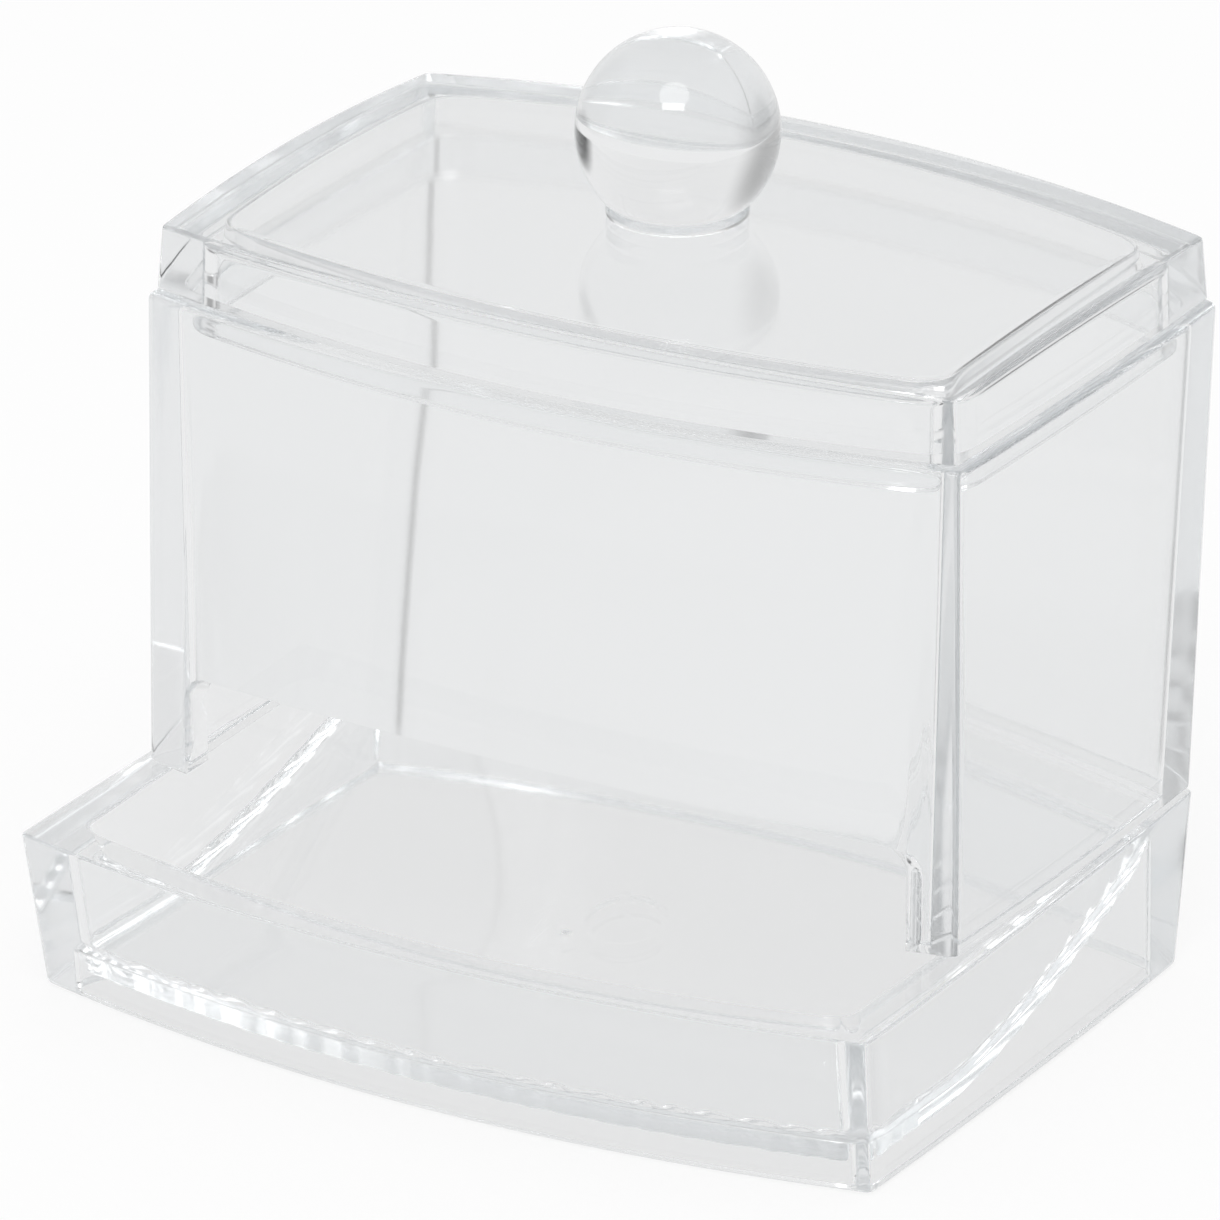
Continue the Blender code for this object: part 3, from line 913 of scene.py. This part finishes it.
class DISPENSER_OT_studio(Operator):
    """Make the floor, the light and the camera"""
    bl_idname = "dispenser.studio"
    bl_label = "Studio"

    def execute(self, context):
        group = context.scene.dispenser_studio
        make_floor(group)
        make_world(context.scene, group)
        make_lamps(context.scene, group)
        make_camera(context.scene)
        scene = context.scene
        scene.view_settings.view_transform = "Standard"
        scene.cycles.max_bounces = LIGHT_BOUNCES
        scene.cycles.transmission_bounces = LIGHT_BOUNCES
        scene.cycles.glossy_bounces = LIGHT_BOUNCES
        return {"FINISHED"}


def add_node(tree, kind, **values):
    """A node of a tree, with its sockets set by name."""
    node = tree.nodes.new(kind)
    for name, value in values.items():
        node.inputs[name.replace("_", " ")].default_value = value
    return node


def math_node(tree, operation, first, second=None):
    """A math node fed by sockets or numbers."""
    node = tree.nodes.new("ShaderNodeMath")
    node.operation = operation
    for index, value in enumerate((first, second)):
        if value is None:
            continue
        if isinstance(value, (int, float)):
            node.inputs[index].default_value = value
        else:
            tree.links.new(value, node.inputs[index])
    return node.outputs[0]


def seen_directly(tree):
    """One on the rays that show a surface plainly: from the camera, off gloss and through plastic."""
    path = tree.nodes.new("ShaderNodeLightPath")
    either = math_node(tree, "MAXIMUM", path.outputs["Is Camera Ray"], path.outputs["Is Glossy Ray"])
    return math_node(tree, "MAXIMUM", either, path.outputs["Is Transmission Ray"])


def make_floor(group):
    """A white sweep of paper, whose own white shows beside the light that falls on it."""
    reach = 0.5
    mesh = bpy.data.meshes.new("floor")
    corners = [(-reach, -reach, 0), (reach, -reach, 0), (reach, reach, 0), (-reach, reach, 0)]
    mesh.from_pydata(corners, [], [(0, 1, 2, 3)])
    floor = bpy.data.objects.new("floor", mesh)
    floor.location.z = -0.0002
    bpy.context.scene.collection.objects.link(floor)
    material = bpy.data.materials.new("floor_paper")
    material.use_nodes = True
    tree = material.node_tree
    tree.nodes.clear()
    tone = group.floor_tone
    paper = add_node(tree, "ShaderNodeBsdfDiffuse", Color=(tone, tone, tone, 1.0))
    white = add_node(tree, "ShaderNodeEmission")
    plain_view = tree.nodes.new("ShaderNodeLightPath").outputs["Is Camera Ray"]
    tree.links.new(math_node(tree, "MAXIMUM", plain_view, group.backdrop), white.inputs["Strength"])
    share = math_node(tree, "MULTIPLY", seen_directly(tree), 1.0 - group.shadow)
    blend = tree.nodes.new("ShaderNodeMixShader")
    tree.links.new(share, blend.inputs[0])
    tree.links.new(paper.outputs[0], blend.inputs[1])
    tree.links.new(white.outputs[0], blend.inputs[2])
    output = tree.nodes.new("ShaderNodeOutputMaterial")
    tree.links.new(blend.outputs[0], output.inputs["Surface"])
    mesh.materials.append(material)


def towards(turn, rise):
    """The direction at an angle to the right of straight ahead of the camera, and at an angle up."""
    heading = CAMERA_TURN - turn
    return (-sin(heading) * cos(rise), cos(heading) * cos(rise), sin(rise))


def make_world(scene, group):
    """A white light tent with a dark opening to the right, a dim one to the left and a softer back."""
    world = bpy.data.worlds.new("studio")
    world.use_nodes = True
    tree = world.node_tree
    background = tree.nodes["Background"]
    background.inputs["Strength"].default_value = group.sky
    direction = tree.nodes.new("ShaderNodeTexCoord").outputs["Generated"]
    dim = 1.0 - group.backdrop
    for turn, rise, reach, depth in (TENT_OPENING, TENT_DIM_SIDE, TENT_BACK, TENT_FAR_SIDE):
        nearness = tree.nodes.new("ShaderNodeVectorMath")
        nearness.operation = "DOT_PRODUCT"
        nearness.inputs[1].default_value = towards(turn, rise)
        tree.links.new(direction, nearness.inputs[0])
        spot = step_between(tree, nearness.outputs["Value"], cos(reach), cos(reach * TENT_CORE))
        spot = math_node(tree, "MULTIPLY", spot, depth)
        dim = math_node(tree, "ADD", dim, spot)
    light_path = tree.nodes.new("ShaderNodeLightPath")
    hidden = math_node(tree, "SUBTRACT", 1.0, light_path.outputs["Is Camera Ray"])
    dim = math_node(tree, "MULTIPLY", math_node(tree, "MULTIPLY", dim, hidden), 1.0 - group.opening)
    tent = tree.nodes.new("ShaderNodeMix")
    tent.data_type = "RGBA"
    tent.inputs[6].default_value = (1.0, 1.0, 1.0, 1.0)
    tent.inputs[7].default_value = (0.0, 0.0, 0.0, 1.0)
    tree.links.new(dim, tent.inputs[0])
    tree.links.new(tent.outputs[2], background.inputs["Color"])
    scene.world = world


def step_between(tree, value, start, end):
    """A smooth step from nought at the start to one at the end."""
    node = tree.nodes.new("ShaderNodeMapRange")
    node.interpolation_type = "SMOOTHSTEP"
    node.inputs["From Min"].default_value = min(start, end)
    node.inputs["From Max"].default_value = max(start, end)
    node.inputs["To Min"].default_value = 0.0 if start < end else 1.0
    node.inputs["To Max"].default_value = 1.0 if start < end else 0.0
    tree.links.new(value, node.inputs["Value"])
    return node.outputs["Result"]


def make_lamps(scene, group):
    """A round softbox overhead and a wide one over the camera."""
    for name, (shape, turn, rise, far, width, height, share) in SOFTBOXES.items():
        data = bpy.data.lights.new(name, "AREA")
        data.shape = shape
        data.size = width
        data.size_y = height
        data.energy = group.softbox * share
        lamp = bpy.data.objects.new(name, data)
        middle = Vector((0.0, 0.0, 0.05))
        lamp.location = middle + Vector(towards(turn, rise)) * far
        lamp.rotation_euler = (middle - lamp.location).to_track_quat("-Z", "Y").to_euler()
        scene.collection.objects.link(lamp)


def make_camera(scene):
    data = bpy.data.cameras.new("camera")
    data.sensor_width = 36.0
    data.lens = 360.2
    data.clip_end = 20.0
    camera = bpy.data.objects.new("camera", data)
    place = Vector((0.5280, -0.8909, 0.4790))
    target = Vector((-0.00777, 0.0099, 0.03052))
    camera.location = place
    camera.rotation_euler = (target - place).to_track_quat("-Z", "Y").to_euler()
    scene.collection.objects.link(camera)
    scene.camera = camera


class DISPENSER_PT_panel(Panel):
    """Lists the dispenser's pieces and settings"""
    bl_idname = "DISPENSER_PT_panel"
    bl_label = "Cotton swab dispenser"
    bl_space_type = "VIEW_3D"
    bl_region_type = "UI"
    bl_category = "Dispenser"

    def draw(self, context):
        layout = self.layout
        for operator in MAKERS:
            layout.operator(operator.bl_idname)
        for label in SETTINGS:
            group = getattr(context.scene, label)
            for name in group.__annotations__:
                layout.prop(group, name)


MAKERS = (
    DISPENSER_OT_base,
    DISPENSER_OT_box,
    DISPENSER_OT_lid,
    DISPENSER_OT_knob,
    DISPENSER_OT_studio,
)
SETTINGS = {
    "dispenser_plastic": PlasticSettings,
    "dispenser_base": BaseSettings,
    "dispenser_lid": LidSettings,
    "dispenser_knob": KnobSettings,
    "dispenser_studio": StudioSettings,
}
CLASSES = (*SETTINGS.values(), *MAKERS, DISPENSER_PT_panel)


def register():
    for item in CLASSES:
        bpy.utils.register_class(item)
    for label, group in SETTINGS.items():
        setattr(bpy.types.Scene, label, PointerProperty(type=group))


def unregister():
    for label in SETTINGS:
        delattr(bpy.types.Scene, label)
    for item in reversed(CLASSES):
        bpy.utils.unregister_class(item)


def main():
    register()
    bpy.ops.dispenser.base()
    bpy.ops.dispenser.box()
    bpy.ops.dispenser.lid()
    bpy.ops.dispenser.knob()
    bpy.ops.dispenser.studio()


if __name__ == "__main__":
    main()
